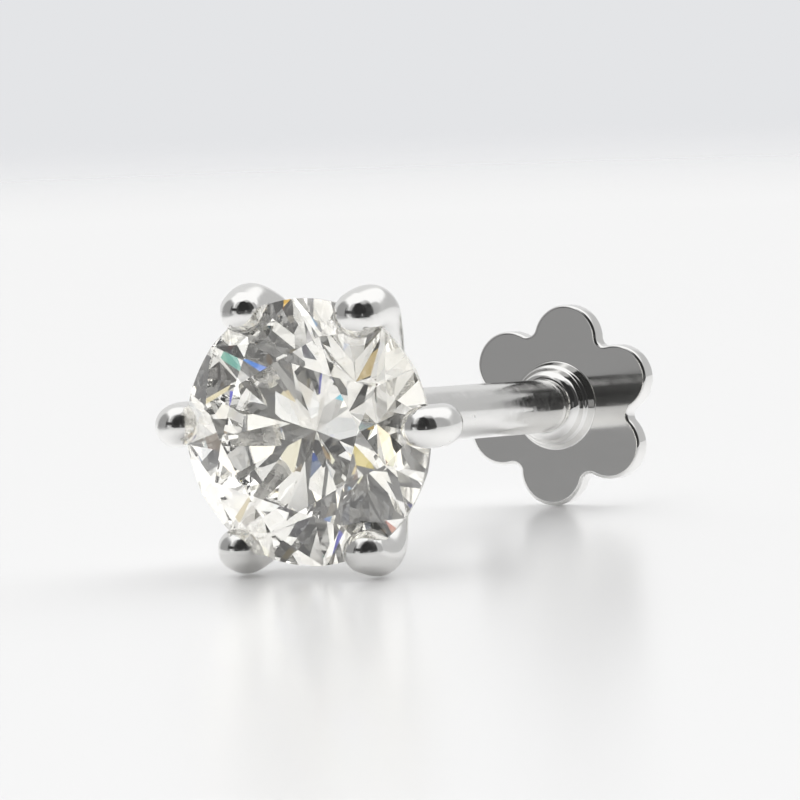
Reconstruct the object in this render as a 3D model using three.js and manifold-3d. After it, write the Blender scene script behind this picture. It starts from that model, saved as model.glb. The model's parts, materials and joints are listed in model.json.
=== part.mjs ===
import * as THREE from "three";
import { mergeVertices } from "three/addons/utils/BufferGeometryUtils.js";
import Module from "manifold-3d";

// A screw-back nose stud, in millimetres: a round brilliant in a six-claw head, on a hollow
// post, closed by a six-petal back whose screw runs up inside the post.
// In the stud's own frame the stone's girdle lies in the plane y = 0, the stone faces -Y
// and the post runs along +Y. At the end the stud is laid on its side, on the plane z = 0.

// Round brilliant
const STONE_WIDTH = 5.0;
const TABLE_SHARE = 0.57; // table corner to corner, as a share of the width
const CROWN_HEIGHT = 0.75;
const GIRDLE_HEIGHT = 0.15; // at the tips of the main facets
const PAVILION_DEPTH = 2.15;
const GIRDLE_SIDES = 64;
const STAR_SHARE = 0.5; // how far the stars reach from the table to the girdle
const LOWER_SHARE = 0.77; // how far the lower girdle facets reach to the culet
const STONE_TURN = 6; // degrees that a main facet stands round from the stud's right

// Six-claw head
const HEAD_LEAN = 2.7; // degrees that the head leans out of line with the post
const LEAN_POINT = 3.2; // where on the post's axis it leans from
const SEAT_PLAY = 0.03; // clearance between the stone and the seats cut for it
const SEAT_SIDES = 96;
const CLAWS = [
  // degrees round from the stud's right, as bent by the setter, and each wire's thickness
  { angle: 3.3, girth: 0.94 },
  { angle: 61.0, girth: 1.06 },
  { angle: 116.4, girth: 0.96 },
  { angle: 177.3, girth: 0.96 },
  { angle: 239.3, girth: 0.96 },
  { angle: 300.9, girth: 0.96 },
];
const CLAW_SIDES = 18;
const CLAW_RINGS = { dome: 6, shank: 22 }; // rings of facets along a claw
const CLAW_LINE = [
  // the middle of a claw from its tip to the base: out from the axis, back from the girdle
  { out: 2.33, back: -0.80 },
  { out: 2.53, back: -0.41 },
  { out: 2.64, back: 0.08 },
  { out: 2.50, back: 0.55 },
  { out: 2.18, back: 1.05 },
  { out: 1.60, back: 1.85 },
  { out: 1.02, back: 2.60 },
  { out: 0.48, back: 3.25 },
];
const CLAW_GIRTH = [
  // the claw's radius at shares of its length
  { share: 0.00, radius: 0.42 },
  { share: 0.25, radius: 0.43 },
  { share: 0.45, radius: 0.37 },
  { share: 1.00, radius: 0.30 },
];

// Base and hollow post
const BASE_FORM = [
  // the base's outline, from its middle in front to the post: back from the girdle
  { radius: 0.00, back: 2.80 },
  { radius: 0.82, back: 2.80 },
  { radius: 0.94, back: 2.92 },
  { radius: 0.94, back: 3.14 },
  { radius: 0.84, back: 3.30 },
  { radius: 0.65, back: 3.58 },
  { radius: 0.56, back: 3.76 },
  { radius: 0.53, back: 3.90 },
];
const POST_RADIUS = 0.53;
const POST_END = 10.76;
const POST_EDGE = 0.04; // the chamfer at the post's end
const BORE_RADIUS = 0.40;
const BORE_DEPTH = 5.8;
const POST_SIDES = 36;

// Flower back
const COLLAR_PLAY = 0.03; // the hairline between the post's end and the collar
const COLLAR_LENGTH = 0.56;
const COLLAR_FORM = [
  // the collar's outline, from its nose to its ring on the plate: back from the collar's front
  { radius: 0.600, back: 0.00 },
  { radius: 0.720, back: 0.14 },
  { radius: 0.765, back: 0.26 },
  { radius: 0.845, back: 0.33 },
  { radius: 0.845, back: COLLAR_LENGTH },
];
const PETALS = 6;
const PETAL_REACH = 2.0; // from the plate's middle to a petal's tip
const PETAL_RADIUS = 0.67;
const NOTCH_RADIUS = 0.18;
const PLATE_THICKNESS = 0.42;
const PLATE_EDGE = 0.05; // the rounding of the plate's edges
const FLOWER_TURN = -6; // degrees that the flower stands round on the post, from upright
const PLATE_OFF_AXIS = 0.07; // how far to the stud's right the plate was soldered
const SCREW_RADIUS = 0.34;
const SCREW_LENGTH = 5.0;
const SCREW_TIP = 0.18; // the chamfer at the screw's end

const wasm = await Module();
wasm.setup();

// A closed geometry as a solid, with shared vertices merged and empty triangles left out.
function solid(geometry) {
  const plain = geometry.clone();
  plain.deleteAttribute("normal");
  plain.deleteAttribute("uv");
  const merged = mergeVertices(plain, 1e-5);
  const corners = merged.index.array;
  const kept = [];
  for (let i = 0; i < corners.length; i += 3) {
    const [a, b, c] = corners.slice(i, i + 3);
    if (a !== b && b !== c && c !== a) kept.push(a, b, c);
  }
  return new wasm.Manifold(new wasm.Mesh({
    numProp: 3,
    vertProperties: new Float32Array(merged.attributes.position.array),
    triVerts: new Uint32Array(kept),
  }));
}

// The solid's surface as a geometry with flat faces.
function surface(body) {
  const mesh = body.getMesh();
  const geometry = new THREE.BufferGeometry();
  geometry.setAttribute("position", new THREE.BufferAttribute(mesh.vertProperties, 3));
  geometry.setIndex(new THREE.BufferAttribute(mesh.triVerts, 1));
  geometry.computeVertexNormals();
  return geometry;
}

// A solid of revolution about the stud's axis, from a profile of [radius, y] that closes on it.
function turned(profile, sides) {
  return new THREE.LatheGeometry(profile.map(([r, y]) => new THREE.Vector2(r, y)), sides);
}

// The stone's driving points, with z up through the table.
const girdleRadius = STONE_WIDTH / 2;
const girdleTop = GIRDLE_HEIGHT / 2;
const tableHeight = girdleTop + CROWN_HEIGHT;
const culetDepth = girdleTop + PAVILION_DEPTH;
const tableCorner = girdleRadius * TABLE_SHARE;

// The round brilliant: a round blank cut by one plane for each facet, tier by tier.
function brilliant() {
  const eighth = Math.PI / 4;
  const half = Math.cos(eighth / 2);
  const quarter = Math.cos(eighth / 4);
  const tableSide = tableCorner * half;
  const starTip = tableSide + STAR_SHARE * (girdleRadius - tableSide);
  const lowerTip = girdleRadius * (1 - LOWER_SHARE);
  const crownSlope = CROWN_HEIGHT / (girdleRadius - tableCorner);
  const pavilionSlope = PAVILION_DEPTH / girdleRadius;
  const starHeight = girdleTop + crownSlope * (girdleRadius - starTip * half);
  const lowerDepth = girdleTop + pavilionSlope * (girdleRadius - lowerTip * half);
  const tiers = [
    // side: 1 for the crown, -1 for the pavilion; the plane passes through (radius, height)
    { count: 8, first: 0, side: 1, slope: crownSlope, radius: girdleRadius, height: girdleTop },
    { count: 8, first: 0.5, side: 1, slope: (tableHeight - starHeight) / (starTip - tableSide),
      radius: tableSide, height: tableHeight },
    { count: 16, first: 0.25, side: 1,
      slope: (starHeight - girdleTop) / ((girdleRadius - starTip) * quarter),
      radius: girdleRadius * quarter, height: girdleTop },
    { count: 8, first: 0, side: -1, slope: pavilionSlope, radius: girdleRadius, height: girdleTop },
    { count: 16, first: 0.25, side: -1,
      slope: (lowerDepth - girdleTop) / ((girdleRadius - lowerTip) * quarter),
      radius: girdleRadius * quarter, height: girdleTop },
  ];
  const blank = new THREE.CylinderGeometry(
    girdleRadius, girdleRadius, tableHeight + culetDepth, GIRDLE_SIDES);
  blank.rotateX(Math.PI / 2);
  blank.rotateZ(Math.PI / 2);
  blank.translate(0, 0, (tableHeight - culetDepth) / 2);
  let stone = solid(blank);
  for (const tier of tiers) {
    for (let k = 0; k < tier.count; k++) {
      const angle = tier.first * eighth + (k * 2 * Math.PI) / tier.count;
      const inward = [-tier.slope * Math.cos(angle), -tier.slope * Math.sin(angle), -tier.side];
      const length = Math.hypot(...inward);
      const reach = (tier.slope * tier.radius + tier.height) / length;
      stone = stone.trimByPlane(inward, -reach);
    }
  }
  return surface(stone).rotateX(Math.PI / 2);
}

// One claw: a turned rod with a domed tip, bent along the claw's line and swung to its angle.
// Its flats touch the round wire from outside.
function claw({ angle, girth }) {
  const line = new THREE.CatmullRomCurve3(
    CLAW_LINE.map(({ out, back }) => new THREE.Vector3(out, back, 0)));
  const length = line.getLength();
  const thickness = girth / Math.cos(Math.PI / CLAW_SIDES);
  const tip = CLAW_GIRTH[0].radius * thickness;
  const profile = [];
  for (let i = 0; i <= CLAW_RINGS.dome; i++) {
    const turn = (i / CLAW_RINGS.dome) * (Math.PI / 2);
    profile.push([tip * Math.sin(turn), tip * (1 - Math.cos(turn))]);
  }
  for (let i = 1; i <= CLAW_RINGS.shank; i++) {
    const along = tip + (i / CLAW_RINGS.shank) * (length - tip);
    profile.push([radiusAt(along / length) * thickness, along]);
  }
  profile[0][0] = 0;
  profile.push([0, length]);
  const rod = turned(profile, CLAW_SIDES);
  const spots = rod.attributes.position;
  const side = new THREE.Vector3(0, 0, 1);
  for (let i = 0; i < spots.count; i++) {
    const share = THREE.MathUtils.clamp(spots.getY(i) / length, 0, 1);
    const along = line.getTangentAt(share);
    const across = new THREE.Vector3().crossVectors(along, side);
    const spot = line.getPointAt(share)
      .addScaledVector(across, spots.getX(i))
      .addScaledVector(side, spots.getZ(i));
    spots.setXYZ(i, spot.x, spot.y, spot.z);
  }
  return rod.rotateY(-THREE.MathUtils.degToRad(angle));
}

// The claw's radius at a share of its length, straight between the rows of the table.
function radiusAt(share) {
  const next = Math.max(1, CLAW_GIRTH.findIndex((row) => row.share >= share));
  const from = CLAW_GIRTH[next - 1];
  const to = CLAW_GIRTH[next];
  const part = THREE.MathUtils.clamp((share - from.share) / (to.share - from.share), 0, 1);
  return THREE.MathUtils.lerp(from.radius, to.radius, part);
}

// The head's lean, as a turn about a point on the post's axis.
const lean = new THREE.Matrix4()
  .makeTranslation(0, LEAN_POINT, 0)
  .multiply(new THREE.Matrix4().makeRotationX(THREE.MathUtils.degToRad(HEAD_LEAN)))
  .multiply(new THREE.Matrix4().makeTranslation(0, -LEAN_POINT, 0));

// Claws, base and hollow post, soldered into one, with the seats cut for the stone.
function setting() {
  const seat = turned([
    [0, -tableHeight - SEAT_PLAY],
    [tableCorner, -tableHeight - SEAT_PLAY],
    [girdleRadius + SEAT_PLAY, -girdleTop - SEAT_PLAY],
    [girdleRadius + SEAT_PLAY, girdleTop + SEAT_PLAY],
    [0, culetDepth + 2 * SEAT_PLAY],
  ], SEAT_SIDES);
  const base = turned([
    ...BASE_FORM.map(({ radius, back }) => [radius, back]),
    [POST_RADIUS, POST_END - POST_EDGE],
    [POST_RADIUS - POST_EDGE, POST_END],
    [0, POST_END],
  ], POST_SIDES);
  const bore = turned([
    [0, POST_END - BORE_DEPTH],
    [BORE_RADIUS, POST_END - BORE_DEPTH + BORE_RADIUS / 2],
    [BORE_RADIUS, POST_END + 1],
    [0, POST_END + 1],
  ], POST_SIDES);
  let claws = null;
  for (const row of CLAWS) {
    const one = solid(claw(row));
    claws = claws ? claws.add(one) : one;
  }
  const head = solid(surface(claws.subtract(solid(seat))).applyMatrix4(lean));
  return surface(head.add(solid(base)).subtract(solid(bore)));
}

// The outline of the flower plate: round petals, joined by small hollow notches.
function flowerOutline() {
  const step = (2 * Math.PI) / PETALS;
  const ring = PETAL_REACH - PETAL_RADIUS;
  const across = PETAL_RADIUS + NOTCH_RADIUS;
  const notchRing = ring * Math.cos(step / 2)
    + Math.sqrt(across ** 2 - (ring * Math.sin(step / 2)) ** 2);
  const open = Math.atan2(notchRing * Math.sin(step / 2), notchRing * Math.cos(step / 2) - ring);
  const outline = new THREE.Shape();
  for (let k = 0; k < PETALS; k++) {
    const middle = k * step;
    const between = middle + step / 2;
    outline.absarc(ring * Math.cos(middle), ring * Math.sin(middle), PETAL_RADIUS,
      middle - open, middle + open, false);
    outline.absarc(notchRing * Math.cos(between), notchRing * Math.sin(between), NOTCH_RADIUS,
      middle + open + Math.PI, middle + step - open - Math.PI, true);
  }
  return outline;
}

// Plate, collar and screw, made as one.
const collarFront = POST_END + COLLAR_PLAY;
const plateFront = collarFront + COLLAR_LENGTH;
function flowerBack() {
  const plate = new THREE.ExtrudeGeometry(flowerOutline(), {
    depth: PLATE_THICKNESS - 2 * PLATE_EDGE,
    bevelThickness: PLATE_EDGE,
    bevelSize: PLATE_EDGE,
    bevelOffset: -PLATE_EDGE,
    bevelSegments: 2,
    curveSegments: 12,
  });
  plate.translate(0, 0, PLATE_EDGE);
  plate.rotateZ(Math.PI / 2 - THREE.MathUtils.degToRad(FLOWER_TURN));
  plate.rotateX(-Math.PI / 2);
  plate.translate(PLATE_OFF_AXIS, plateFront, 0);
  const stem = turned([
    [0, collarFront - SCREW_LENGTH],
    [SCREW_RADIUS - SCREW_TIP, collarFront - SCREW_LENGTH],
    [SCREW_RADIUS, collarFront - SCREW_LENGTH + SCREW_TIP],
    [SCREW_RADIUS, collarFront],
    ...COLLAR_FORM.map(({ radius, back }) => [radius, collarFront + back]),
    [COLLAR_FORM[COLLAR_FORM.length - 1].radius, plateFront + PLATE_THICKNESS / 2],
    [0, plateFront + PLATE_THICKNESS / 2],
  ], POST_SIDES);
  return surface(solid(plate).add(solid(stem)));
}

const metal = { color: 0xe4e4e2, roughness: 0.08, metalness: 1.0 };
const stoneMesh = new THREE.Mesh(
  brilliant().rotateY(-THREE.MathUtils.degToRad(STONE_TURN)),
  new THREE.MeshStandardMaterial({ color: 0xf2f4f0, roughness: 0.0, metalness: 0.0 }));
stoneMesh.name = "stone";
const settingMesh = new THREE.Mesh(setting(), new THREE.MeshStandardMaterial(metal));
settingMesh.name = "setting";
const backMesh = new THREE.Mesh(flowerBack(), new THREE.MeshStandardMaterial(metal));
backMesh.name = "flower_back";

const head = new THREE.Group();
head.applyMatrix4(lean);
head.add(stoneMesh);
const stud = new THREE.Group();
stud.add(head, settingMesh, backMesh);

// The lowest point of a mesh that lies at the given tilt, as [y, z] in the stud's frame.
function lowestPoint(mesh, tilt) {
  const spots = mesh.geometry.attributes.position;
  let best = null;
  for (let i = 0; i < spots.count; i++) {
    const y = spots.getY(i);
    const z = spots.getZ(i);
    const height = z * Math.cos(tilt) - y * Math.sin(tilt);
    if (!best || height < best.height) best = { y, z, height };
  }
  return best;
}

// The stud lies on its two lower claws and its lowest petal, so the post slopes down to the back.
let tilt = 0;
for (let round = 0; round < 6; round++) {
  const front = lowestPoint(settingMesh, tilt);
  const back = lowestPoint(backMesh, tilt);
  tilt = Math.atan2(back.z - front.z, back.y - front.y);
}
stud.rotation.x = -tilt;

// The origin is on the floor, under the middle of the stud.
const lying = new THREE.Group();
lying.add(stud);
lying.updateMatrixWorld(true);
const box = new THREE.Box3().setFromObject(lying, true);
stud.position.set(-(box.min.x + box.max.x) / 2, -(box.min.y + box.max.y) / 2, -box.min.z);

export default lying;
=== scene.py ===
import json
import math

import bpy
import numpy as np
from mathutils import Matrix


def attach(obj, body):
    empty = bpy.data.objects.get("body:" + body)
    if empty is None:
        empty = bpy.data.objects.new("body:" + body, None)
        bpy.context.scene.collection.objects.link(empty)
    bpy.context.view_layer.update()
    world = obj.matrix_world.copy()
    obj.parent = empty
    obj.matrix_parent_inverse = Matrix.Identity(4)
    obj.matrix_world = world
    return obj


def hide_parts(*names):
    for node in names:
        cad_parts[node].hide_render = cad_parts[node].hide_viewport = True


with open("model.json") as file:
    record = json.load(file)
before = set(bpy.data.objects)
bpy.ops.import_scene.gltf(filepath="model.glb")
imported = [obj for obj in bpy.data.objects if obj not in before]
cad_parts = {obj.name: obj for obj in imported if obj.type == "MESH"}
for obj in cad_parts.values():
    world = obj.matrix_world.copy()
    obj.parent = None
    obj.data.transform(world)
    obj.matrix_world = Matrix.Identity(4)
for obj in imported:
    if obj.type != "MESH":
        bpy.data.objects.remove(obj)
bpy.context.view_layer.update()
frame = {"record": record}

# The stone: a round brilliant, near colourless with a slightly warm tint. It is cut in flat facets
# and polished, its girdle is ground to a fine matt band, and six claws hold it by its rim.
MM = 0.001
STONE_RADIUS = 2.5  # millimetres, as every size of the stud
TABLE_CORNER = 1.425
CROWN_HEIGHT = 0.75
PAVILION_DEPTH = 2.15
GIRDLE_TOP = 0.075  # above and below the middle of the girdle, at the tips of the main facets
STAR_SHARE = 0.5
LOWER_SHARE = 0.77
STONE_TURN = math.radians(6)
MAIN_FACETS = 8
ARC_STEPS = 12  # along the rim of one girdle facet
HEAD_LEAN = math.radians(2.7)
LEAN_POINT = 3.2  # on the post's axis, back from the girdle
BACK_FACE_AT = 11.77  # from the girdle to the outer face of the flower plate
STONE_COLOUR = (0.99, 0.982, 0.942, 1)
STONE_CLOUD_COLOUR = (0.97, 0.945, 0.85, 1)
STONE_SPECK_COLOUR = (0.72, 0.69, 0.60, 1)
STONE_CLOUDS = {"scale": 900, "detail": 2, "start": 0.50, "rate": 4.0}
STONE_SPECKS = {"scale": 6500, "detail": 1, "start": 0.70, "rate": 14.0}
GIRDLE_GRAIN = {"scale": 16000, "detail": 3}
GIRDLE_GRAIN_DEPTH = 6e-6  # metres, as the polish's depth
GIRDLE_ROUGHNESS = 0.15
DIAMOND_IOR = 2.417

back_face = next(m for m in frame["record"]["mounts"] if m["name"] == "back_face")
along = np.array(back_face["axis"], float)
across = np.array([1.0, 0.0, 0.0])
square = np.cross(across, along)
stud_origin = np.array(back_face["pos_m"], float) - along * BACK_FACE_AT * MM


def in_row(spots):
    """Spots in the stud's own frame as metres in the row's frame: the origin plus x times across,
    y times along the post and z times square to both."""
    return stud_origin + MM * (spots @ np.stack([across, along, square]))


def leaned(spots):
    """Spots turned about the x direction through the lean point, as the head leans on its post."""
    turn = np.array([[1, 0, 0],
                     [0, math.cos(HEAD_LEAN), math.sin(HEAD_LEAN)],
                     [0, -math.sin(HEAD_LEAN), math.cos(HEAD_LEAN)]])
    pivot = np.array([0, LEAN_POINT, 0])
    return (spots - pivot) @ turn + pivot


def new_piece(name, body, node, skins, materials, smooth=True):
    """A mesh object from closed skins of (spots, faces), in the row's frame in metres."""
    spots, faces = [], []
    for skin_spots, skin_faces in skins:
        first = sum(len(s) for s in spots)
        faces += [[first + corner for corner in f] for f in skin_faces]
        spots.append(skin_spots)
    mesh = bpy.data.meshes.new(name)
    mesh.from_pydata(np.concatenate(spots).tolist(), [], faces)
    mesh.polygons.foreach_set("use_smooth", [smooth] * len(mesh.polygons))
    for material in materials:
        mesh.materials.append(material)
    piece = bpy.data.objects.new(name, mesh)
    bpy.context.scene.collection.objects.link(piece)
    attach(piece, body)
    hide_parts(node)
    return piece


def new_material(name):
    """A material with nodes, its tree and its Principled shader."""
    material = bpy.data.materials.new(name)
    material.use_nodes = True
    return material, material.node_tree, material.node_tree.nodes["Principled BSDF"]


def sum_of(tree, operation, *values, clamp=False):
    """The output of a Math node whose inputs are numbers or sockets."""
    node = tree.nodes.new("ShaderNodeMath")
    node.operation = operation
    node.use_clamp = clamp
    for socket, value in zip(node.inputs, values):
        if isinstance(value, (int, float)):
            socket.default_value = value
        else:
            tree.links.new(value, socket)
    return node.outputs[0]


# The tiers of facets, each a plane in height over distance from the stone's axis.
eighth = 2 * math.pi / MAIN_FACETS
half_cos = math.cos(eighth / 2)
quarter_cos = math.cos(eighth / 4)
table_height = GIRDLE_TOP + CROWN_HEIGHT
culet_depth = GIRDLE_TOP + PAVILION_DEPTH
table_side = TABLE_CORNER * half_cos
star_tip = table_side + STAR_SHARE * (STONE_RADIUS - table_side)
lower_tip = STONE_RADIUS * (1 - LOWER_SHARE)
crown_slope = CROWN_HEIGHT / (STONE_RADIUS - TABLE_CORNER)
pavilion_slope = PAVILION_DEPTH / STONE_RADIUS
star_height = GIRDLE_TOP + crown_slope * (STONE_RADIUS - star_tip * half_cos)
lower_depth = GIRDLE_TOP + pavilion_slope * (STONE_RADIUS - lower_tip * half_cos)
upper_slope = (star_height - GIRDLE_TOP) / ((STONE_RADIUS - star_tip) * quarter_cos)
lower_slope = (lower_depth - GIRDLE_TOP) / ((STONE_RADIUS - lower_tip) * quarter_cos)


def looks_out(corners, middle):
    """Whether a face of a convex solid looks away from its middle: the cross product of two of its
    sides points the way that the face lies from the middle."""
    way = np.cross(corners[1] - corners[0], corners[2] - corners[1])
    return way @ (corners.mean(0) - middle) > 0


def stone_skin():
    """The brilliant's corners, ring by ring from the table to the culet, and one flat face for each
    facet. Round the girdle each rim follows its facet's plane: the height at the rim's middle less
    the slope times the radius times the growth of the cosine."""
    steps = 2 * MAIN_FACETS * ARC_STEPS
    turn = np.arange(steps) * 2 * math.pi / steps
    off_middle = np.mod(turn, eighth / 2) - eighth / 4
    dip = STONE_RADIUS * (np.cos(off_middle) - quarter_cos)
    mains = np.arange(MAIN_FACETS) * eighth
    halves = mains + eighth / 2

    def ring(angles, radius, height):
        angles = angles + STONE_TURN
        return np.stack([radius * np.cos(angles), -height + 0 * angles,
                         radius * np.sin(angles)], -1)

    rings = [ring(mains, TABLE_CORNER, table_height),
             ring(halves, star_tip, star_height),
             ring(turn, STONE_RADIUS, GIRDLE_TOP - upper_slope * dip),
             ring(turn, STONE_RADIUS, lower_slope * dip - GIRDLE_TOP),
             ring(halves, lower_tip, -lower_depth),
             ring(mains[:1], 0.0, -culet_depth)]
    first = np.cumsum([0] + [len(r) for r in rings])
    table, star, rim, under, low, culet = first[:-1]
    faces = [list(range(table, table + MAIN_FACETS))]
    for k in range(MAIN_FACETS):
        before, after = (k - 1) % MAIN_FACETS, (k + 1) % MAIN_FACETS
        tip = 2 * k * ARC_STEPS
        faces += [[table + k, table + after, star + k],
                  [table + k, star + before, rim + tip, star + k],
                  [culet, low + before, under + tip, low + k]]
        for side in (0, 1):
            arc = [(tip + side * ARC_STEPS + i) % steps for i in range(ARC_STEPS + 1)]
            faces += [[star + k, *[rim + i for i in arc]], [low + k, *[under + i for i in arc]]]
    facets = len(faces)
    faces += [[rim + i, rim + (i + 1) % steps, under + (i + 1) % steps, under + i]
              for i in range(steps)]
    spots = np.concatenate(rings)
    faces = [f if looks_out(spots[f], spots.mean(0)) else f[::-1] for f in faces]
    return spots, faces, facets


def noise_at(tree, place, kind):
    """Noise from nought to one over a place, as fine and as detailed as its kind says."""
    node = tree.nodes.new("ShaderNodeTexNoise")
    node.inputs["Scale"].default_value = kind["scale"]
    node.inputs["Detail"].default_value = kind["detail"]
    tree.links.new(place, node.inputs["Vector"])
    return node.outputs["Fac"]


def own_place(tree):
    """The piece's own coordinates."""
    return tree.nodes.new("ShaderNodeTexCoord").outputs["Object"]


def patches(tree, kind):
    """How far noise has gone past its start, times its rate, from nought to one."""
    over = sum_of(tree, "SUBTRACT", noise_at(tree, own_place(tree), kind), kind["start"])
    return sum_of(tree, "MULTIPLY", over, kind["rate"], clamp=True)


def mixed(tree, factor, first, second):
    """A colour between two others, each a value or a socket."""
    node = tree.nodes.new("ShaderNodeMix")
    node.data_type = "RGBA"
    tree.links.new(factor, node.inputs["Factor"])
    for name, colour in (("A", first), ("B", second)):
        if isinstance(colour, tuple):
            node.inputs[name].default_value = colour
        else:
            tree.links.new(colour, node.inputs[name])
    return node.outputs["Result"]


def bumped(tree, shader, height, depth):
    """The shader's normal bent by a height, which is worth a depth in metres."""
    bump = tree.nodes.new("ShaderNodeBump")
    bump.inputs["Distance"].default_value = depth
    tree.links.new(height, bump.inputs["Height"])
    tree.links.new(bump.outputs["Normal"], shader.inputs["Normal"])


def clear_stone(name, roughness):
    """A clear material that bends light as diamond does."""
    material, tree, shader = new_material(name)
    shader.inputs["Base Color"].default_value = STONE_COLOUR
    shader.inputs["Roughness"].default_value = roughness
    shader.inputs["IOR"].default_value = DIAMOND_IOR
    shader.inputs["Transmission Weight"].default_value = 1.0
    return material, tree, shader


stone_material, tree, shader = clear_stone("cut_stone", 0.0)
cloudy = mixed(tree, patches(tree, STONE_CLOUDS), STONE_COLOUR, STONE_CLOUD_COLOUR)
speckled = mixed(tree, patches(tree, STONE_SPECKS), cloudy, STONE_SPECK_COLOUR)
tree.links.new(speckled, shader.inputs["Base Color"])

girdle_material, tree, shader = clear_stone("ground_girdle", GIRDLE_ROUGHNESS)
bumped(tree, shader, noise_at(tree, own_place(tree), GIRDLE_GRAIN), GIRDLE_GRAIN_DEPTH)

stone_spots, stone_faces, facet_count = stone_skin()
stone = new_piece("round_brilliant", "front", "stone",
                  [(in_row(leaned(stone_spots)), stone_faces)],
                  [stone_material, girdle_material], smooth=False)
stone.data.polygons.foreach_set(
    "material_index", (np.arange(len(stone_faces)) >= facet_count).astype(int))

# The head: six claws of white gold wire with domed tips, bent round the stone by hand. Each has a
# seat cut with a round bur where the stone's rim sits, and is soldered at its foot to the base.
CLAWS = [
    # degrees round from the stud's right, as the setter bent them, and each wire's thickness
    {"angle": 3.3, "girth": 0.94},
    {"angle": 61.0, "girth": 1.06},
    {"angle": 116.4, "girth": 0.96},
    {"angle": 177.3, "girth": 0.96},
    {"angle": 239.3, "girth": 0.96},
    {"angle": 300.9, "girth": 0.96},
]
CLAW_LINE = [
    # the middle of a claw from its tip to its foot: out from the axis, back from the girdle
    {"out": 2.335, "back": -0.79},
    {"out": 2.53, "back": -0.41},
    {"out": 2.64, "back": 0.08},
    {"out": 2.50, "back": 0.55},
    {"out": 2.18, "back": 1.05},
    {"out": 1.60, "back": 1.85},
    {"out": 1.02, "back": 2.60},
    {"out": 0.48, "back": 3.25},
]
CLAW_GIRTH = [
    # the claw's radius at shares of its length
    {"share": 0.00, "radius": 0.412},
    {"share": 0.25, "radius": 0.416},
    {"share": 0.45, "radius": 0.365},
    {"share": 0.85, "radius": 0.30},
    {"share": 1.00, "radius": 0.34},
]
CLAW_AROUND = 56
CLAW_DOME_RINGS = 16
CLAW_SHANK_RINGS = 110
LOOK_AHEAD = 1e-3  # a claw's course at a spot points to the spot this far on
SEAT_PLAY = 0.012  # between the stone and the metal of a seat
SEAT_EDGE = 0.03  # how deep a spot was pressed before it counts as cut metal
SEAT_ROUGHNESS = 0.16  # added where the bur cut
SEAT_CHATTER = {"scale": 14000, "detail": 2}
SEAT_CHATTER_HEIGHT = 6.0  # in depths of the polish
METAL_COLOUR = (0.905, 0.90, 0.885, 1)
POLISH_DEPTH = 4e-6
POLISH_SWELL = {"scale": 1100, "detail": 1}
POLISH_PATCHES = {"scale": 2600, "detail": 4}
PATCH_SHARE = 0.9  # how much rougher than the gloss a patch may be
HAIRLINES = [
    # fine noise drawn out in one direction, and how far it is turned
    {"scale": 9000, "detail": 3, "stretch": (1, 0.06, 1), "turn": (0.5, 0.2, 0.9)},
    {"scale": 8000, "detail": 3, "stretch": (0.07, 1, 1), "turn": (0.1, 0.7, 0.3)},
]
HAIR_RATE = 1.6
HAIR_START = 1.25
HEAD_POLISH = {"Gloss": 0.06, "Marks": 0.20, "Swell": 2.4}


def smooth_through(knots, stations, wanted):
    """Values between knots by cubic Hermite pieces: each slope is that of the parabola through a
    knot and its two neighbours."""
    slopes = np.gradient(knots, stations, axis=0, edge_order=2)
    piece = np.clip(np.searchsorted(stations, wanted, side="right") - 1, 0, len(stations) - 2)
    span = (stations[piece + 1] - stations[piece])[:, None]
    t = (wanted - stations[piece])[:, None] / span
    return ((1 + 2 * t) * (1 - t) ** 2 * knots[piece] + t * (1 - t) ** 2 * span * slopes[piece]
            + t * t * (3 - 2 * t) * knots[piece + 1] + t * t * (t - 1) * span * slopes[piece + 1])


def column(rows, *names):
    """The named columns of a table as an array."""
    return np.array([[row[name] for name in names] for row in rows], float)


def closed_skin(rings, first_pole, last_pole):
    """A skin over rings of spots: a quad between neighbours on two rings, and a fan from each end
    ring to its pole."""
    count, around, _ = rings.shape
    at = np.arange(count * around).reshape(count, around)
    on = np.roll(at, -1, axis=1)
    quads = np.stack([at[:-1], on[:-1], on[1:], at[1:]], -1).reshape(-1, 4)
    pole = np.full(around, count * around)
    front_fan = np.stack([pole, on[0], at[0]], -1)
    back_fan = np.stack([pole + 1, at[-1], on[-1]], -1)
    spots = np.concatenate([rings.reshape(-1, 3), [first_pole, last_pole]])
    return spots, [*quads.tolist(), *front_fan.tolist(), *back_fan.tolist()]


def tier_height(angle, radius, facets, first, slope, plane_radius, plane_height):
    """Height of a tier of facets over a spot: the plane's height at its own radius plus the slope
    times that radius less the spot's distance along the nearest facet's middle line."""
    step = 2 * math.pi / facets
    off = np.mod(angle - first + step / 2, step) - step / 2
    return plane_height + slope * (plane_radius - radius * np.cos(off))


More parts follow.
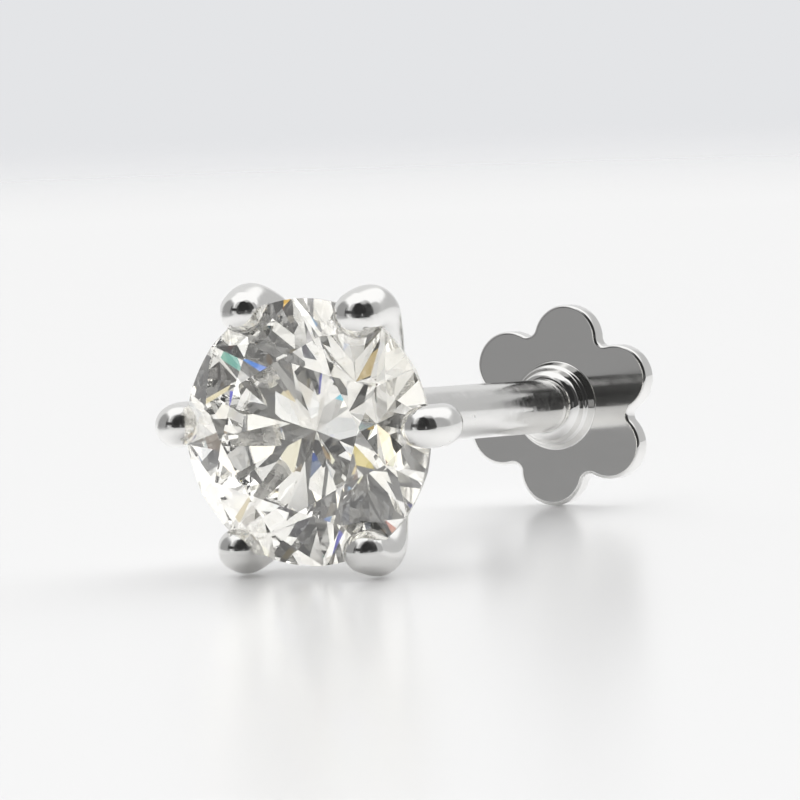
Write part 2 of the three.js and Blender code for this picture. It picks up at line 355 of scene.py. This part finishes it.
def pressed_on_stone(spots):
    """Spots that lie inside the stone moved out to its nearest face, and how far each one went."""
    radius = np.hypot(spots[..., 0], spots[..., 2])
    angle = np.arctan2(spots[..., 2], spots[..., 0]) - STONE_TURN
    star_slope = (table_height - star_height) / (star_tip - table_side)
    crown = np.minimum.reduce([
        np.full(radius.shape, table_height),
        tier_height(angle, radius, MAIN_FACETS, 0, crown_slope, STONE_RADIUS, GIRDLE_TOP),
        tier_height(angle, radius, MAIN_FACETS, eighth / 2, star_slope, table_side,
                    table_height),
        tier_height(angle, radius, 2 * MAIN_FACETS, eighth / 4, upper_slope,
                    STONE_RADIUS * quarter_cos, GIRDLE_TOP)])
    depth = np.minimum(
        tier_height(angle, radius, MAIN_FACETS, 0, pavilion_slope, STONE_RADIUS, GIRDLE_TOP),
        tier_height(angle, radius, 2 * MAIN_FACETS, eighth / 4, lower_slope,
                    STONE_RADIUS * quarter_cos, GIRDLE_TOP))
    height = -spots[..., 1]
    ways = np.stack([crown + SEAT_PLAY - height,
                     STONE_RADIUS + SEAT_PLAY - radius,
                     depth + SEAT_PLAY + height])
    lean = np.arctan([crown_slope, 0.0, pavilion_slope])
    straight = ways * np.cos(lean).reshape(3, 1, 1)
    inside = (straight > 0).all(0)
    nearest = straight.argmin(0)
    moved = spots.copy()
    moved[..., 1] -= np.where(inside & (nearest == 0), ways[0], 0)
    moved[..., 1] += np.where(inside & (nearest == 2), ways[2], 0)
    out = np.where(inside & (nearest == 1), 1 + ways[1] / np.maximum(radius, 1e-6), 1)
    moved[..., 0] *= out
    moved[..., 2] *= out
    return moved, np.where(inside, straight.min(0), 0)


def claw_skin(angle, girth):
    """One claw: circles carried along its line. Over the first stretch, as long as the tip's radius,
    they grow as a half ball does, and after it they follow the table of girths."""
    knots = column(CLAW_LINE, "out", "back")
    stations = np.concatenate([[0], np.cumsum(np.hypot(*np.diff(knots, axis=0).T))])
    girths = column(CLAW_GIRTH, "radius") * girth
    shares = column(CLAW_GIRTH, "share")[:, 0]
    tip = girths[0, 0]
    rise = np.linspace(0, math.pi / 2, CLAW_DOME_RINGS + 1)[1:-1]
    shank = np.linspace(tip, stations[-1], CLAW_SHANK_RINGS)
    place = np.concatenate([tip * (1 - np.cos(rise)), shank])
    radius = np.concatenate([tip * np.sin(rise),
                             smooth_through(girths, shares, shank / stations[-1])[:, 0]])
    line = smooth_through(knots, stations, place)
    ahead = smooth_through(knots, stations, place + LOOK_AHEAD)
    course = (ahead - line) / np.linalg.norm(ahead - line, axis=1, keepdims=True)
    turn = np.arange(CLAW_AROUND) * 2 * math.pi / CLAW_AROUND
    flat = (line[:, None, :] + (radius[:, None] * np.cos(turn))[..., None]
            * np.stack([-course[:, 1], course[:, 0]], -1)[:, None, :])
    aside = radius[:, None] * np.sin(turn)
    face = math.radians(angle)

    def stood(out, back, side):
        return np.stack([out * math.cos(face) - side * math.sin(face), back,
                         out * math.sin(face) + side * math.cos(face)], -1)

    rings, cut = pressed_on_stone(stood(flat[..., 0], flat[..., 1], aside))
    poles = [stood(*knots[0], 0.0), stood(*knots[-1], 0.0)]
    poles[0], _ = (a[0, 0] for a in pressed_on_stone(poles[0].reshape(1, 1, 3)))
    spots, faces = closed_skin(rings, *poles)
    return in_row(leaned(spots)), faces, np.concatenate([cut.ravel(), [0, 0]])


# The base and the post: a small turned drum that carries the claws' feet, and a hollow post drilled
# from the back for the screw, all turned from one rod of white gold.
POST_AROUND = 96
CORNER_STEPS = 6
GUARD = 0.012  # a last ring beside each rounded corner keeps the straight stretch straight
CORNER_SHARE = 0.42  # the most of a stretch that a corner may take up, and its guard ring
GUARD_SHARE = 0.48
BASE_AND_POST = [
    # the outline from the middle of the base, round the post and down the bore: back from the
    # girdle, and how far each corner is rounded
    {"radius": 0.00, "back": 2.80, "round": 0},
    {"radius": 0.82, "back": 2.80, "round": 0.05},
    {"radius": 0.94, "back": 2.92, "round": 0.05},
    {"radius": 0.94, "back": 3.14, "round": 0.05},
    {"radius": 0.84, "back": 3.30, "round": 0.06},
    {"radius": 0.65, "back": 3.58, "round": 0.09},
    {"radius": 0.56, "back": 3.76, "round": 0.07},
    {"radius": 0.53, "back": 3.90, "round": 0.06},
    {"radius": 0.53, "back": 10.76, "round": 0.05},
    {"radius": 0.415, "back": 10.76, "round": 0.02},
    {"radius": 0.40, "back": 10.72, "round": 0.02},
    {"radius": 0.40, "back": 5.16, "round": 0.05},
    {"radius": 0.00, "back": 4.96, "round": 0},
]


def rounded_outline(rows):
    """A table's outline as (radius, back), its ends left out. Each corner becomes the quadratic
    curve that leaves the line a little before it and meets the next line as far after it."""
    spots = column(rows, "radius", "back")
    corner, before, after = spots[1:-1], spots[:-2] - spots[1:-1], spots[2:] - spots[1:-1]
    size = column(rows, "round")[1:-1]
    room = np.minimum(np.linalg.norm(before, axis=1), np.linalg.norm(after, axis=1))[:, None]
    size = np.minimum(size, CORNER_SHARE * room)
    guard = np.minimum(size + GUARD, GUARD_SHARE * room)
    before /= np.linalg.norm(before, axis=1, keepdims=True)
    after /= np.linalg.norm(after, axis=1, keepdims=True)
    t = np.linspace(0, 1, CORNER_STEPS).reshape(1, -1, 1)
    start, end = corner + before * size, corner + after * size
    curve = ((1 - t) ** 2 * start[:, None] + 2 * t * (1 - t) * corner[:, None]
             + t ** 2 * end[:, None])
    return np.concatenate([(corner + before * guard)[:, None], curve,
                           (corner + after * guard)[:, None]], 1).reshape(-1, 2)


def turned_rings(outline, turn):
    """Rings of spots round the stud's axis, one for each (radius, back) of the outline."""
    radius, back = outline[:, :1], outline[:, 1:]
    return np.stack([radius * np.cos(turn), back + 0 * turn, radius * np.sin(turn)], -1)


def base_and_post_skin():
    """The turned outline carried round the stud's axis, closed at the base and in the bore."""
    turn = np.arange(POST_AROUND) * 2 * math.pi / POST_AROUND
    rings = turned_rings(rounded_outline(BASE_AND_POST), turn)
    ends = [[0, BASE_AND_POST[i]["back"], 0] for i in (0, -1)]
    spots, faces = closed_skin(rings, *ends)
    return in_row(spots), faces


def polish_group():
    """Fine hand polish: a slow swell of the surface, hairline marks in two directions, and a little
    more or less gloss from place to place."""
    group = bpy.data.node_groups.new("hand_polish", "ShaderNodeTree")
    for name, kind in (("Position", "NodeSocketVector"), ("Gloss", "NodeSocketFloat"),
                       ("Marks", "NodeSocketFloat"), ("Swell", "NodeSocketFloat")):
        group.interface.new_socket(name, in_out="INPUT", socket_type=kind)
    for name in ("Roughness", "Height"):
        group.interface.new_socket(name, in_out="OUTPUT", socket_type="NodeSocketFloat")
    given = group.nodes.new("NodeGroupInput").outputs
    put = group.nodes.new("NodeGroupOutput").inputs

    def hairline(kind):
        drawn_out = group.nodes.new("ShaderNodeMapping")
        drawn_out.inputs["Scale"].default_value = kind["stretch"]
        drawn_out.inputs["Rotation"].default_value = kind["turn"]
        group.links.new(given["Position"], drawn_out.inputs["Vector"])
        return noise_at(group, drawn_out.outputs["Vector"], kind)

    lines = sum_of(group, "ADD", *[hairline(kind) for kind in HAIRLINES])
    strong = sum_of(group, "MULTIPLY", lines, HAIR_RATE)
    hair = sum_of(group, "SUBTRACT", strong, HAIR_START, clamp=True)
    marks = sum_of(group, "MULTIPLY", hair, given["Marks"])
    patchy = noise_at(group, given["Position"], POLISH_PATCHES)
    uneven = sum_of(group, "ADD", sum_of(group, "MULTIPLY", patchy, PATCH_SHARE), 1.0)
    gloss = sum_of(group, "MULTIPLY", uneven, given["Gloss"])
    slow = noise_at(group, given["Position"], POLISH_SWELL)
    swell = sum_of(group, "MULTIPLY", slow, given["Swell"])
    group.links.new(sum_of(group, "ADD", gloss, marks), put["Roughness"])
    group.links.new(sum_of(group, "SUBTRACT", swell, marks), put["Height"])
    return group


hand_polish = polish_group()


def polished_metal(name, colour, polish, cut_where=None):
    """A white gold material: the hand polish sets its roughness and its bump. Where the attribute
    called cut_where is one, the bur left the metal rougher, with fine chatter marks."""
    material, tree, shader = new_material(name)
    shader.inputs["Base Color"].default_value = colour
    shader.inputs["Metallic"].default_value = 1.0
    finish = tree.nodes.new("ShaderNodeGroup")
    finish.node_tree = hand_polish
    for quality, value in polish.items():
        finish.inputs[quality].default_value = value
    place = own_place(tree)
    tree.links.new(place, finish.inputs["Position"])
    roughness = finish.outputs["Roughness"]
    height = finish.outputs["Height"]
    if cut_where:
        cut = tree.nodes.new("ShaderNodeAttribute")
        cut.attribute_name = cut_where
        chatter = sum_of(tree, "MULTIPLY", noise_at(tree, place, SEAT_CHATTER), cut.outputs["Fac"])
        height = sum_of(tree, "ADD", height, sum_of(tree, "MULTIPLY", chatter, SEAT_CHATTER_HEIGHT))
        rougher = sum_of(tree, "MULTIPLY", cut.outputs["Fac"], SEAT_ROUGHNESS)
        roughness = sum_of(tree, "ADD", roughness, rougher)
    tree.links.new(roughness, shader.inputs["Roughness"])
    bumped(tree, shader, height, POLISH_DEPTH)
    return material


head_metal = polished_metal("head_white_gold", METAL_COLOUR, HEAD_POLISH, cut_where="seat")
claw_skins = [claw_skin(row["angle"], row["girth"]) for row in CLAWS]
base_skin = base_and_post_skin()
setting = new_piece("claw_head_and_post", "front", "setting",
                    [skin[:2] for skin in claw_skins] + [base_skin], [head_metal])
cut_depth = np.concatenate([skin[2] for skin in claw_skins] + [np.zeros(len(base_skin[0]))])
seat_values = setting.data.attributes.new("seat", "FLOAT", "POINT")
seat_values.data.foreach_set("value", np.clip(cut_depth / SEAT_EDGE, 0, 1).astype(np.float32))

# The flower back: a stamped plate of six round petals, soldered to a turned collar whose screw runs
# up inside the post. The screw is cut with a fine thread.
PETALS = 6
PETAL_REACH = 2.0  # from the plate's middle to a petal's tip
PETAL_RADIUS = 0.67
NOTCH_RADIUS = 0.18
PETAL_STEPS = 26
NOTCH_STEPS = 8
FLOWER_TURN = math.radians(-6)
PLATE_OFF_AXIS = 0.07  # how far to the stud's right the plate was soldered
PLATE_FRONT = 11.35
PLATE_EDGE = 0.055
EDGE_STEPS = 6
FACE_GUARD = 2.2 * PLATE_EDGE  # a ring on each face, this far in from the edge, keeps it flat
FACE_RINGS = (0.25, 0.6)  # rings on the back face, as shares of the way out
COLLAR_FRONT = 10.79
SCREW_RADIUS = 0.34
SCREW_LENGTH = 5.0
SCREW_NECK_RADIUS = 0.30
SCREW_FOOT = 0.10  # the plain foot that belongs to the collar's outline
SCREW_NECK = 0.25  # from the collar's front to where the thread begins
SCREW_TIP = 0.18  # the length and the depth of the cone at the tip
SCREW_POINT = 0.01
COLLAR = [
    # the collar's outline from its ring on the plate to its nose: back from the collar's front
    {"radius": 0.935, "back": 0.56, "round": 0},
    {"radius": 0.865, "back": 0.56, "round": 0.02},
    {"radius": 0.800, "back": 0.345, "round": 0.05},
    {"radius": 0.745, "back": 0.300, "round": 0.03},
    {"radius": 0.700, "back": 0.12, "round": 0.07},
    {"radius": 0.600, "back": 0.00, "round": 0.07},
    {"radius": SCREW_NECK_RADIUS, "back": 0.00, "round": 0.02},
    {"radius": SCREW_NECK_RADIUS, "back": -SCREW_FOOT, "round": 0},
]
THREAD_PITCH = 0.25
THREAD_DEPTH = 0.05
THREAD_STEP = 0.028
THREAD_CREST = 1.4  # a power that narrows the groove and leaves the crest wide
BACK_METAL_COLOUR = (0.90, 0.895, 0.882, 1)
BACK_POLISH = {"Gloss": 0.045, "Marks": 0.03, "Swell": 0.10}


def flower_outline():
    """Spots round the plate and the way out at each: a petal is an arc about a centre on a circle
    round the axis, and a notch is a small arc, bent the other way, that both its petals touch."""
    step = 2 * math.pi / PETALS
    ring = PETAL_REACH - PETAL_RADIUS
    reach = PETAL_RADIUS + NOTCH_RADIUS
    notch_ring = (ring * math.cos(step / 2)
                  + math.sqrt(reach ** 2 - (ring * math.sin(step / 2)) ** 2))
    opening = math.atan2(notch_ring * math.sin(step / 2), notch_ring * math.cos(step / 2) - ring)
    bulge = np.linspace(-opening, opening, PETAL_STEPS)
    hollow = np.linspace(opening, step - opening, NOTCH_STEPS + 2)[1:-1] + math.pi
    middles = np.arange(PETALS)[:, None] * step + math.pi / 2 + FLOWER_TURN

    def arc(centre, radius, centre_turn, turn, way):
        out = np.stack([np.cos(turn), np.sin(turn)], -1)
        at = centre * np.stack([np.cos(centre_turn), np.sin(centre_turn)], -1) + radius * out
        return at, way * out

    petal, petal_out = arc(ring, PETAL_RADIUS, middles + 0 * bulge, middles + bulge, 1)
    notch, notch_out = arc(notch_ring, NOTCH_RADIUS, middles + step / 2 + 0 * hollow,
                           middles + hollow, -1)
    spots = np.concatenate([petal, notch], 1).reshape(-1, 2)
    return spots, np.concatenate([petal_out, notch_out], 1).reshape(-1, 2)


def plate_rings(outline, out):
    """The plate from the middle of its back to the collar's foot. Its edge is a quarter round at
    each side: set in by the edge size times one less the sine of a swing, and forward by the edge
    size times one less its cosine."""
    swing = np.linspace(0, math.pi / 2, EDGE_STEPS)
    inset = np.concatenate([[FACE_GUARD, PLATE_EDGE + GUARD], PLATE_EDGE * (1 - np.sin(swing)),
                            PLATE_EDGE * (1 - np.cos(swing)), [PLATE_EDGE + GUARD, FACE_GUARD]])
    back = np.concatenate([[0, 0], PLATE_EDGE * (1 - np.cos(swing))])
    place = np.concatenate([BACK_FACE_AT - back, PLATE_FRONT + back[::-1]])
    edge = outline[None] - inset[:, None, None] * out[None]
    middle = edge[:1] * np.reshape(FACE_RINGS, (-1, 1, 1))
    rings = np.concatenate([middle, edge]) + [PLATE_OFF_AXIS, 0]
    place = np.concatenate([[BACK_FACE_AT] * len(FACE_RINGS), place])
    return np.stack([rings[..., 0], place[:, None] + 0 * rings[..., 0], rings[..., 1]], -1)


def screw_outline(turn):
    """The screw's radius over its length and round it: a rod with a cone at its tip, less the
    thread's depth times a rounded wave that climbs one pitch in each turn and fades at the neck."""
    end = COLLAR_FRONT - SCREW_LENGTH
    back = np.arange(COLLAR_FRONT - SCREW_FOOT, end, -THREAD_STEP)
    rod = SCREW_RADIUS - np.clip(SCREW_TIP - (back - end), 0, None)
    cut = np.clip((COLLAR_FRONT - SCREW_NECK - back) / THREAD_PITCH, 0, 1)
    climb = turn[None] - 2 * math.pi * back[:, None] / THREAD_PITCH
    wave = (0.5 + 0.5 * np.cos(climb)) ** THREAD_CREST
    neck = (1 - cut[:, None]) * (SCREW_RADIUS - SCREW_NECK_RADIUS)
    return rod[:, None] - neck - THREAD_DEPTH * cut[:, None] * wave, back


def flower_back_skin():
    """One closed skin from the plate's back, over its edge, down the collar and along the screw."""
    outline, out = flower_outline()
    turn = np.arctan2(outline[:, 1], outline[:, 0])
    plate = plate_rings(outline, out)
    collar = rounded_outline(COLLAR) + [0, COLLAR_FRONT]
    radius, back = screw_outline(turn)
    screw = np.stack([radius * np.cos(turn), back[:, None] + 0 * turn, radius * np.sin(turn)], -1)
    rings = np.concatenate([plate, turned_rings(collar, turn), screw])
    return closed_skin(rings, [PLATE_OFF_AXIS, BACK_FACE_AT, 0], [0, back[-1] - SCREW_POINT, 0])


back_metal = polished_metal("back_white_gold", BACK_METAL_COLOUR, BACK_POLISH)
flower_spots, flower_faces = flower_back_skin()
new_piece("petal_back_and_screw", "back", "flower_back",
          [(in_row(flower_spots), flower_faces)], [back_metal])

# The camera: a long lens close over the floor, to the stud's right and in front, turned a little
# about its own line of sight as the photograph was.
CAMERA_AZIMUTH = math.radians(25.05)
CAMERA_ELEVATION = math.radians(5.60)
CAMERA_ROLL = math.radians(-1.92)
CAMERA_DISTANCE = 0.150  # metres
CAMERA_LENS = 362.8
SENSOR_WIDTH = 36
LOOK_RIGHT = 1.7175  # the picture's middle from the girdle's centre on the post's axis
LOOK_UP = 0.390

look_back = np.array([math.sin(CAMERA_AZIMUTH) * math.cos(CAMERA_ELEVATION),
                      -math.cos(CAMERA_AZIMUTH) * math.cos(CAMERA_ELEVATION),
                      math.sin(CAMERA_ELEVATION)])
look_right = np.array([math.cos(CAMERA_AZIMUTH), math.sin(CAMERA_AZIMUTH), 0])
look_up = np.cross(look_back, look_right)
camera_data = bpy.data.cameras.new("camera")
camera_data.lens = CAMERA_LENS
camera_data.sensor_width = SENSOR_WIDTH
camera_data.clip_start = 0.001
camera_data.clip_end = 20
camera = bpy.data.objects.new("camera", camera_data)
bpy.context.scene.collection.objects.link(camera)
aim = stud_origin + MM * (LOOK_RIGHT * look_right + LOOK_UP * look_up)
stand = aim + CAMERA_DISTANCE * look_back
rolled_right = math.cos(CAMERA_ROLL) * look_right + math.sin(CAMERA_ROLL) * look_up
rolled_up = np.cross(look_back, rolled_right)
camera.matrix_world = Matrix([[*(rolled_right[i], rolled_up[i], look_back[i]), stand[i]]
                              for i in range(3)] + [[0, 0, 0, 1]])
bpy.context.scene.camera = camera

# The light: a white tent all round, greyer at the left, low behind and in a strip at the right, with
# the dark lens side in front. Each row is a soft-edged panel painted over those before it.
LIGHT_AZIMUTH = math.radians(25.7)
TENT_LEVEL = 1.08
ROOM_GAIN = 1.56  # the floor gets light from beyond the panels too
STONE_GAIN = 1.85  # the stone gathers light from beyond the panels
FLOOR_GAIN = 1.36  # the floor as the stone gathers its light
FIRE = 1.15  # degrees that red and blue part on their way through the stone
FIRE_SHIFTS = {"Red": 1, "Green": 0.35, "Blue": -1}
BACKDROP_COLOUR = (0.775, 0.783, 0.80, 1)
WALLS = [
    # degrees round from the camera's direction and up from the horizon, half sizes, softness of
    # the edge as a share, and brightness
    {"at": 148, "up": 0, "wide": 42, "high": 25, "soft": 0.7, "level": 0.54},
    {"at": -155, "up": 12, "wide": 44, "high": 42, "soft": 0.6, "level": 0.74},
    {"at": 92, "up": 8, "wide": 16, "high": 30, "soft": 0.6, "level": 0.42},
    {"at": -84, "up": 10, "wide": 42, "high": 46, "soft": 0.6, "level": 0.33},
    {"at": -57.5, "up": 14, "wide": 3, "high": 26, "soft": 0.5, "level": 0.03},
    {"at": -51, "up": 2, "wide": 3.5, "high": 4, "soft": 0.3, "level": 0.285},
]
LENS_SIDE = [
    # the same for the panels whose edges the stone parts into colours
    {"at": 26, "up": 25, "wide": 64, "high": 44, "soft": 0.35, "level": 0.50},
    {"at": -33, "up": 19, "wide": 21, "high": 9, "soft": 0.4, "level": 0.04},
    {"at": 31, "up": 18, "wide": 52, "high": 37, "soft": 0.3, "level": 0.055},
    {"at": 24, "up": 38, "wide": 33, "high": 29, "soft": 0.25, "level": 0.030},
    {"at": 33, "up": 3, "wide": 3.5, "high": 8, "soft": 0.4, "level": 0.30},
]

world = bpy.data.worlds.new("light_tent")
bpy.context.scene.world = world
world.use_nodes = True
tree = world.node_tree
tree.nodes.clear()
way = tree.nodes.new("ShaderNodeTexCoord").outputs["Generated"]


def part_along(tree, way, direction):
    """How far a way or a spot goes in a direction."""
    node = tree.nodes.new("ShaderNodeVectorMath")
    node.operation = "DOT_PRODUCT"
    tree.links.new(way, node.inputs[0])
    node.inputs[1].default_value = direction
    return node.outputs["Value"]


def eased(tree, value, start, end):
    """From nought at start to one at end, eased at both."""
    node = tree.nodes.new("ShaderNodeMapRange")
    node.interpolation_type = "SMOOTHSTEP"
    node.inputs["From Min"].default_value = start
    node.inputs["From Max"].default_value = end
    tree.links.new(value, node.inputs["Value"])
    return node.outputs["Result"]


def background(tree, colour, strength):
    """A shader of light from all round, its colour a value or a socket."""
    node = tree.nodes.new("ShaderNodeBackground")
    if isinstance(colour, tuple):
        node.inputs["Color"].default_value = colour
    else:
        tree.links.new(colour, node.inputs["Color"])
    node.inputs["Strength"].default_value = strength
    return node.outputs["Background"]


def between(tree, factor, first, second):
    """A shader between two others."""
    node = tree.nodes.new("ShaderNodeMixShader")
    for socket, given in zip(node.inputs, (factor, first, second)):
        tree.links.new(given, socket)
    return node.outputs["Shader"]


ahead = part_along(tree, way, (math.sin(LIGHT_AZIMUTH), -math.cos(LIGHT_AZIMUTH), 0))
right = part_along(tree, way, (math.cos(LIGHT_AZIMUTH), math.sin(LIGHT_AZIMUTH), 0))
rise = part_along(tree, way, (0, 0, 1))
round_from_camera = sum_of(tree, "MULTIPLY", sum_of(tree, "ARCTAN2", right, ahead), 180 / math.pi)
up_from_horizon = sum_of(tree, "MULTIPLY", sum_of(tree, "ARCSINE", rise), 180 / math.pi)


def panel_mask(panel, side, height):
    """One inside a panel with rounded corners and soft edges: the fourth powers of the distances
    over the half sizes are added, and the sum fades from one to nought across the edge."""
    turned = sum_of(tree, "SUBTRACT", side, panel["at"])
    wrapped = sum_of(tree, "WRAP", turned, 180.0, -180.0)
    raised = sum_of(tree, "SUBTRACT", height, panel["up"])
    parts = [sum_of(tree, "DIVIDE", wrapped, panel["wide"]),
             sum_of(tree, "DIVIDE", raised, panel["high"])]
    total = sum_of(tree, "ADD", *[sum_of(tree, "POWER", sum_of(tree, "ABSOLUTE", part), 4.0)
                                  for part in parts])
    return eased(tree, total, 1 + panel["soft"], 1 - panel["soft"])


def painted(panels, level, side, height):
    """The brightness all round once each panel in turn is painted over the level so far."""
    for panel in panels:
        blend = tree.nodes.new("ShaderNodeMix")
        blend.data_type = "FLOAT"
        tree.links.new(panel_mask(panel, side, height), blend.inputs["Factor"])
        if isinstance(level, float):
            blend.inputs["A"].default_value = level
        else:
            tree.links.new(level, blend.inputs["A"])
        blend.inputs["B"].default_value = panel["level"]
        level = blend.outputs["Result"]
    return level


# Light that has crossed the stone comes from a little higher and less far round for red, and the
# other way for blue, so that the facets that see the edge of the lens side show colours.
ray = tree.nodes.new("ShaderNodeLightPath").outputs
through_stone = sum_of(tree, "GREATER_THAN", ray["Transmission Depth"], 0.5)
on_floor = sum_of(tree, "MULTIPLY", ray["Is Diffuse Ray"], STONE_GAIN - FLOOR_GAIN)
more = sum_of(tree, "SUBTRACT", STONE_GAIN - 1, on_floor)
gain = sum_of(tree, "ADD", 1.0, sum_of(tree, "MULTIPLY", through_stone, more))
walls = painted(WALLS, TENT_LEVEL, round_from_camera, up_from_horizon)
colours = tree.nodes.new("ShaderNodeCombineColor")
for name, shift in FIRE_SHIFTS.items():
    parted = sum_of(tree, "MULTIPLY", through_stone, shift * FIRE)
    level = painted(LENS_SIDE, walls, sum_of(tree, "SUBTRACT", round_from_camera, parted),
                    sum_of(tree, "ADD", up_from_horizon, parted))
    tree.links.new(sum_of(tree, "MULTIPLY", level, gain), colours.inputs[name])

tent = background(tree, colours.outputs["Color"], 1.0)
room = background(tree, colours.outputs["Color"], ROOM_GAIN)
around = between(tree, ray["Is Diffuse Ray"], tent, room)
backdrop = background(tree, BACKDROP_COLOUR, 1.0)
seen = between(tree, ray["Is Camera Ray"], around, backdrop)
tree.links.new(seen, tree.nodes.new("ShaderNodeOutputWorld").inputs["Surface"])
world.cycles.sampling_method = "NONE"

# The floor: a round table of pale satin plastic. Its far rim melts into the backdrop. Towards the
# lens and at the left the stud gets less light from it, as it would under a lens and its stand.
FLOOR_RADIUS = 0.125  # metres, as the floor's other sizes
FLOOR_FADE_FROM = 0.084
FLOOR_RINGS = (0.004, 0.02, 0.06, FLOOR_RADIUS)
FLOOR_STEPS = 128
FLOOR_COLOUR = (0.92, 0.92, 0.92, 1)
FLOOR_SHADE_COLOUR = (0.02, 0.02, 0.02, 1)
FLOOR_ROUGHNESS = 0.22
PLASTIC_IOR = 1.45
FLOOR_GLOW = 0.10  # light that spreads inside the plastic and fills the shadows
NEAREST_SHADE = 0.001  # the shortest distance, in metres, that a dark side's spread is taken over
DARK_SIDES = [
    # degrees round from the camera's direction, where the shade begins and is full, in metres, the
    # spread over the distance at which it ends and is full, and how much light is lost
    {"way": 25, "from": 0.024, "to": 0.032, "ends": 0.95, "full": 0.75, "loss": 1.0},
    {"way": -82, "from": 0.013, "to": 0.026, "ends": 1.3, "full": 0.7, "loss": 0.55},
]

turn = np.arange(FLOOR_STEPS) * 2 * math.pi / FLOOR_STEPS
reach = np.reshape(FLOOR_RINGS, (-1, 1))
floor_spots = np.stack([reach * np.cos(turn), reach * np.sin(turn), 0 * reach * turn], -1)
at = np.arange(floor_spots.shape[0] * FLOOR_STEPS).reshape(-1, FLOOR_STEPS)
on = np.roll(at, -1, axis=1)
floor_quads = np.stack([at[:-1], at[1:], on[1:], on[:-1]], -1).reshape(-1, 4)
floor_mesh = bpy.data.meshes.new("floor")
floor_mesh.from_pydata(floor_spots.reshape(-1, 3).tolist(), [],
                       [at[0].tolist(), *floor_quads.tolist()])
floor = bpy.data.objects.new("floor", floor_mesh)
bpy.context.scene.collection.objects.link(floor)
floor_material, tree, shader = new_material("pale_satin_floor")
floor_mesh.materials.append(floor_material)
shader.inputs["Roughness"].default_value = FLOOR_ROUGHNESS
shader.inputs["IOR"].default_value = PLASTIC_IOR

spot = own_place(tree)
lit = 1.0
for side in DARK_SIDES:
    side_way = LIGHT_AZIMUTH + math.radians(side["way"])
    towards = part_along(tree, spot, (math.sin(side_way), -math.cos(side_way), 0))
    beside = part_along(tree, spot, (math.cos(side_way), math.sin(side_way), 0))
    spread = sum_of(tree, "DIVIDE", sum_of(tree, "ABSOLUTE", beside),
                    sum_of(tree, "MAXIMUM", towards, NEAREST_SHADE))
    shade = sum_of(tree, "MULTIPLY", eased(tree, towards, side["from"], side["to"]),
                   eased(tree, spread, side["ends"], side["full"]))
    left_over = sum_of(tree, "SUBTRACT", 1.0, sum_of(tree, "MULTIPLY", shade, side["loss"]))
    lit = sum_of(tree, "MULTIPLY", lit, left_over)
ray = tree.nodes.new("ShaderNodeLightPath").outputs
not_camera = sum_of(tree, "SUBTRACT", 1.0, ray["Is Camera Ray"])
shade = sum_of(tree, "MULTIPLY", sum_of(tree, "SUBTRACT", 1.0, lit), not_camera)
tone = mixed(tree, shade, FLOOR_COLOUR, FLOOR_SHADE_COLOUR)
tree.links.new(tone, shader.inputs["Base Color"])
tree.links.new(tone, shader.inputs["Emission Color"])
shader.inputs["Emission Strength"].default_value = FLOOR_GLOW
length = tree.nodes.new("ShaderNodeVectorMath")
length.operation = "LENGTH"
tree.links.new(spot, length.inputs[0])
gone = tree.nodes.new("ShaderNodeBsdfTransparent")
melted = between(tree, eased(tree, length.outputs["Value"], FLOOR_FADE_FROM, FLOOR_RADIUS),
                 shader.outputs["BSDF"], gone.outputs["BSDF"])
tree.links.new(melted, tree.nodes["Material Output"].inputs["Surface"])

scene = bpy.context.scene
scene.view_settings.view_transform = "Standard"
scene.cycles.max_bounces = 24
scene.cycles.glossy_bounces = 20
scene.cycles.transmission_bounces = 24
scene.cycles.transparent_max_bounces = 8
scene.cycles.use_denoising = True
